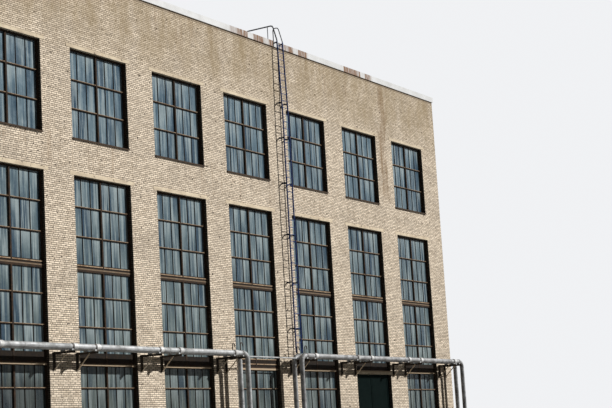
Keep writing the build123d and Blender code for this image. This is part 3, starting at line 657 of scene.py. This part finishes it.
def glazingBars(side):
    uprights, crossbars, nosings, boards = bmesh.new(), bmesh.new(), bmesh.new(), bmesh.new()
    for bay in range(walls[side]["bays"]):
        # behind the pipes and over the gate the low boards lie in the pipes' shadow, so their pale lips,
        # which are painted highlights, are left out
        underPipeShade = side == "front" and bay != bars["openBay"]
        left, right = bayEdges(side, bay)
        middle = (left + right) / 2
        lights = [
            (left + bars["frameFace"], middle - bars["mullion"] / 2),
            (middle + bars["mullion"] / 2, right - bars["frameFace"]),
        ]
        for sill, units in bayWindows(side, bay):
            for unit in range(units):
                foot = sill + unit * building["unit"]
                low = foot + (bars["heavy"] / 2 if unit else bars["frameFace"])
                high = foot + building["unit"]
                high -= bars["heavy"] / 2 if unit < units - 1 else bars["frameFace"]
                cover = bars["boards"].get(foot, low)
                for start, end in lights:
                    unitBars(uprights, crossbars, nosings, start, end, cover, high)
                    if cover > low:
                        lipped = not (underPipeShade and foot < bars["pipeShadeTop"])
                        transomBoard(boards, nosings, start, end, low, cover, lipped)
    place = wallPlace(side)
    addPiece(side + "_transom_boards", boards, boardBrown, "building", place)
    addPiece(side + "_glazing_uprights", uprights, darkBars, "building", place)
    addPiece(side + "_glazing_crossbars", crossbars, darkBars, "building", place)
    addPiece(side + "_glazing_highlight_nosings", nosings, paintedHighlightNosing, "building", place)


for side in walls:
    glazingBars(side)
print("glazing bars made")


# the pipes: collars round the jacket, straps by the brackets and pale clamp blocks

racks = {
    "radius": 0.105, "height": 5.53, "front": 0.85, "rear": 0.45, "bend": 0.3, "inset": 0.43,
    "bays": {"left": 0, "right": 4}, "spans": 3, "bracketInset": 0.2, "endGap": 0.09, "roundSides": 28,
    "collarWide": 0.035, "collarProud": 0.005, "collarPitch": 1.0, "dropCollars": 5,
    "clampLong": 0.2, "clampProud": 0.018, "clampGap": 0.06, "strapHalf": 0.022, "strapProud": 0.007,
    "armTop": 5.385, "boltRadius": 0.011, "boltHead": 0.014, "boltDrops": (0.14, 0.34, 0.59),
    "boltOut": 0.01, "boltAside": 0.02, "boltSides": 6,
    "braceLow": 4.785, "braceHigh": 5.345, "braceReach": 0.6, "braceWide": 0.036, "braceSide": 0.0165,
    "braceFoot": (0.02, 0.02), "braceHead": (0.01, 0.015), "braceApart": 0.0135, "braceThick": 0.0015,
    "flangeDrop": 0.0185, "flangeSide": 0.024, "flangeThick": 0.003,
}
frontY = -building["halfDepth"]


def rackEnds(rack):
    # where the two drops of a rack stand
    first = racks["bays"][rack]
    left = -building["halfLength"] + first * building["bay"] + racks["inset"]
    span = racks["spans"] * building["bay"] + building["pier"] - 2 * racks["inset"]
    return left, left + span


def bracketPlaces(rack):
    # two brackets on each pier, moved in from the drops on the outer piers
    first = racks["bays"][rack]
    last = first + racks["spans"]
    leftDrop, rightDrop = rackEnds(rack)
    runIn = racks["bend"] + racks["endGap"]
    places = []
    for index in range(first, last + 1):
        left = -building["halfLength"] + index * building["bay"]
        right = left + building["pier"]
        places.append(leftDrop + runIn if index == first else left + racks["bracketInset"])
        places.append(rightDrop - runIn if index == last else right - racks["bracketInset"])
    return places


def ringAt(mesh, x, y, start, end, radius):
    # a short length of sheet round a level pipe
    height = racks["height"]
    addRod(mesh, (x + start, y, height), (x + end, y, height), radius, racks["roundSides"])


def collars(rack, offset, name, finish):
    left, right = rackEnds(rack)
    y = frontY - offset
    mesh = bmesh.new()
    ring = racks["radius"] + racks["collarProud"]
    half = racks["collarWide"] / 2
    start, end = left + racks["bend"], right - racks["bend"]
    count = round((end - start) / racks["collarPitch"])
    for step in range(count + 1):
        ringAt(mesh, start + (end - start) * step / count, y, -half, half, ring)
    top = racks["height"] - racks["bend"]
    drops = racks["dropCollars"]
    levels = [top * (step + 0.5) / drops for step in range(drops)] + [top]
    for x in (left, right):
        for z in levels:
            addRod(mesh, (x, y, z - half), (x, y, z + half), ring, racks["roundSides"])
    addPiece(name, mesh, finish, "building")


def clamps(rack):
    # a pale block of sheet beside each bracket on the outer pipe
    mesh = bmesh.new()
    ring = racks["radius"] + racks["clampProud"]
    start = racks["clampGap"]
    for x in bracketPlaces(rack)[1:-1]:
        ringAt(mesh, x, frontY - racks["front"], start, start + racks["clampLong"], ring)
    addPiece(rack + "_rack_clamps", mesh, clampSheet, "building")


def straps(rack):
    mesh = bmesh.new()
    ring = racks["radius"] + racks["strapProud"]
    half = racks["strapHalf"]
    for x in bracketPlaces(rack):
        for offset in (racks["front"], racks["rear"]):
            ringAt(mesh, x, frontY - offset, -half, half, ring)
    addPiece(rack + "_rack_straps", mesh, bracketSteel, "building")


def bracketBolts(rack):
    mesh = bmesh.new()
    y = frontY - racks["boltOut"]
    for place in bracketPlaces(rack):
        x = place - racks["boltAside"]
        for drop in racks["boltDrops"]:
            z = racks["armTop"] - drop
            head = (x, y - racks["boltHead"], z)
            addRod(mesh, (x, y, z), head, racks["boltRadius"], racks["boltSides"])
    addPiece(rack + "_rack_bolts", mesh, bracketSteel, "building")


def bracePlates(rack):
    # painted highlight: pale plates on each side of the slanting brace and a flange below it stand in for its
    # sunlit faces
    footOut, footDrop = racks["braceFoot"]
    headOut, headDrop = racks["braceHead"]
    start = Vector((0, frontY - footOut, racks["braceLow"] - footDrop))
    end = Vector((0, frontY - racks["braceReach"] - headOut, racks["braceHigh"] - headDrop))
    along = end - start
    turn = Matrix.Rotation(along.angle(Vector((0, -1, 0))), 4, "X").inverted()
    below = Vector((0, -along.z, along.y)).normalized() * racks["flangeDrop"]
    flange = Matrix.Diagonal((racks["braceWide"], along.length, racks["flangeThick"], 1))
    plate = Matrix.Diagonal((racks["braceThick"], along.length, racks["braceWide"], 1))
    mesh = bmesh.new()
    for x in bracketPlaces(rack):
        place = Matrix.Translation((start + end) / 2 + below + Vector((x + racks["flangeSide"], 0, 0)))
        bmesh.ops.create_cube(mesh, size=1, matrix=place @ turn @ flange)
        for side in (racks["braceSide"], racks["braceSide"] + racks["braceApart"]):
            aside = Vector((x + side + racks["braceThick"] / 2, 0, 0))
            place = Matrix.Translation((start + end) / 2 + aside) @ turn
            bmesh.ops.create_cube(mesh, size=1, matrix=place @ plate)
    addPiece(rack + "_rack_brace_highlight_plates", mesh, braceHighlightPaint, "building")


for rack, finish in (("left", leftJacket), ("right", rightJacket)):
    collars(rack, racks["front"], rack + "_front_pipe_collars", finish)
    collars(rack, racks["rear"], rack + "_rear_pipe_collars", finish)
    clamps(rack)
    straps(rack)
    bracketBolts(rack)
    bracePlates(rack)
print("pipe fittings made")


# laps between the sheets of the coping, which slope inwards with it

def copingSeams(side):
    mesh = bmesh.new()
    half = coping["halves"][side]
    count = round(2 * half / coping["sheet"])
    low = building["wallTop"] + coping["lapLow"]
    top = building["copingTop"] + coping["proud"]
    for step in range(1, count):
        x = -half + 2 * half * step / count
        ends = (x - coping["seam"] / 2, x + coping["seam"] / 2)
        verts = addBlock(mesh, (ends[0], coping["lapFront"], low), (ends[1], coping["reach"], top))
        for vert in verts:
            if vert.co.y > 0 and vert.co.z > (low + top) / 2:
                vert.co.z -= coping["slope"]
    addPiece(side + "_coping_seams", mesh, copingSheet, "building", wallPlace(side))


for side in walls:
    copingSeams(side)
print("coping seams made")


# gate fittings: a pull handle on a screwed plate on each leaf

gate = {
    "left": 8.325, "right": 11.675, "face": 8.175, "handleIn": 0.065, "handleZ": 1.15, "handleLong": 0.24,
    "handleRadius": 0.011, "handleReach": 0.05, "handleSides": 14, "gripIn": 0.004, "gripPast": 0.012,
    "plateHalf": 0.028, "plateThick": 0.004, "platePast": 0.06, "plateEdge": 0.0015, "sink": 0.003,
    "screwPast": 0.04, "screwAcross": 0.016, "screwReach": 0.008, "screwRadius": 0.005, "screwSides": 6,
}


def gateHandle(leaf, sign):
    x = (gate["left"] + gate["right"]) / 2 + sign * gate["handleIn"]
    y = -gate["face"]
    low = gate["handleZ"] - gate["handleLong"] / 2
    high = gate["handleZ"] + gate["handleLong"] / 2
    radius, sides = gate["handleRadius"], gate["handleSides"]
    sunk = y - gate["sink"]
    mesh = bmesh.new()
    for z in (low, high):
        addRod(mesh, (x, sunk, z), (x, y - gate["handleReach"], z), radius, sides)
    grip = y - gate["handleReach"] + gate["gripIn"]
    addRod(mesh, (x, grip, low - gate["gripPast"]), (x, grip, high + gate["gripPast"]), radius, sides)
    for z in (low - gate["screwPast"], high + gate["screwPast"]):
        for across in (-gate["screwAcross"], gate["screwAcross"]):
            head = (x + across, y - gate["screwReach"], z)
            addRod(mesh, (x + across, sunk, z), head, gate["screwRadius"], gate["screwSides"])
    # the plate comes last: after a block with cut edges, rods get their faces in a new order each run
    corner = (x - gate["plateHalf"], y - gate["plateThick"], low - gate["platePast"])
    addBlock(mesh, corner, (x + gate["plateHalf"], y, high + gate["platePast"]), gate["plateEdge"])
    addPiece("gate_handle_" + leaf, mesh, bracketSteel, "gate_leaf_" + leaf)


gateHandle("left", -1)
gateHandle("right", 1)
print("gate fittings made")


# floor, light and camera; the lens is given in pixels of a picture of that width

stage = {
    "floor": (0.66, 0.655, 0.64, 1), "floorBounce": (0.09, 0.09, 0.088, 1), "floorRough": 0.9,
    "floorDrop": 0.002, "floorHalf": 200, "sky": (0.92, 0.93, 0.95, 1),
    "sunStrength": 4.5, "sunTravel": (-0.9, 1.0, -0.72), "sunWidth": 0.6,
    "fillStrength": 2.1, "fillTravel": (0.55, -1.0, -0.45), "fillWidth": 25.0,
    "worldStrength": 0.03, "backdrop": 0.95,
    "lens": 1501.36, "pictureWide": 612, "sensor": 36, "farthest": 1000, "eye": (-53.821, -44.279, 1.465),
    "right": (0.5312, -0.8452, -0.0584), "ahead": (0.8406, 0.5172, 0.1609),
}


def seenDirectly(tree):
    # 1 for rays of the camera and for what metal and glass show
    rays = addNode(tree, "LightPath")
    seen = calc(tree, "MAXIMUM", rays.outputs["Is Camera Ray"], rays.outputs["Is Glossy Ray"])
    return calc(tree, "MAXIMUM", seen, rays.outputs["Is Transmission Ray"])


def layFloor():
    mesh = bmesh.new()
    place = Matrix.Translation((0, 0, -stage["floorDrop"]))
    bmesh.ops.create_grid(mesh, x_segments=1, y_segments=1, size=stage["floorHalf"], matrix=place)
    data = bpy.data.meshes.new("paleFloor")
    mesh.to_mesh(data)
    mesh.free()
    finish, tree, shader = newFinish("paleFloor")
    colour = tint(tree, seenDirectly(tree), stage["floorBounce"], stage["floor"])
    tree.links.new(colour, shader.inputs["Base Color"])
    shader.inputs["Roughness"].default_value = stage["floorRough"]
    data.materials.append(finish)
    floor = bpy.data.objects.new("paleFloor", data)
    bpy.context.scene.collection.objects.link(floor)


def addSun(name, strength, travel, width):
    lamp = bpy.data.lights.new(name, "SUN")
    lamp.energy = strength
    lamp.angle = width * pi / 180
    sun = bpy.data.objects.new(name, lamp)
    sun.rotation_euler = Vector(travel).to_track_quat("-Z", "Y").to_euler()
    bpy.context.scene.collection.objects.link(sun)


def setLight():
    world = bpy.data.worlds.new("studio")
    bpy.context.scene.world = world
    world.use_nodes = True
    tree = world.node_tree
    back = tree.nodes["Background"]
    back.inputs["Color"].default_value = stage["sky"]
    strength = fade(tree, seenDirectly(tree), 0.0, 1.0, stage["worldStrength"], stage["backdrop"])
    tree.links.new(strength, back.inputs["Strength"])
    addSun("key", stage["sunStrength"], stage["sunTravel"], stage["sunWidth"])
    addSun("fill", stage["fillStrength"], stage["fillTravel"], stage["fillWidth"])


def setCamera():
    data = bpy.data.cameras.new("camera")
    data.sensor_width = stage["sensor"]
    data.lens = stage["lens"] * stage["sensor"] / stage["pictureWide"]
    data.clip_end = stage["farthest"]
    camera = bpy.data.objects.new("camera", data)
    right = Vector(stage["right"]).normalized()
    ahead = Vector(stage["ahead"]).normalized()
    up = right.cross(ahead).normalized()
    ahead = up.cross(right)
    turn = Matrix((right, up, -ahead)).transposed().to_4x4()
    camera.matrix_world = Matrix.Translation(stage["eye"]) @ turn
    bpy.context.scene.collection.objects.link(camera)
    bpy.context.scene.camera = camera


layFloor()
setLight()
setCamera()
bpy.context.scene.view_settings.view_transform = "Standard"
print("floor, light and camera set")
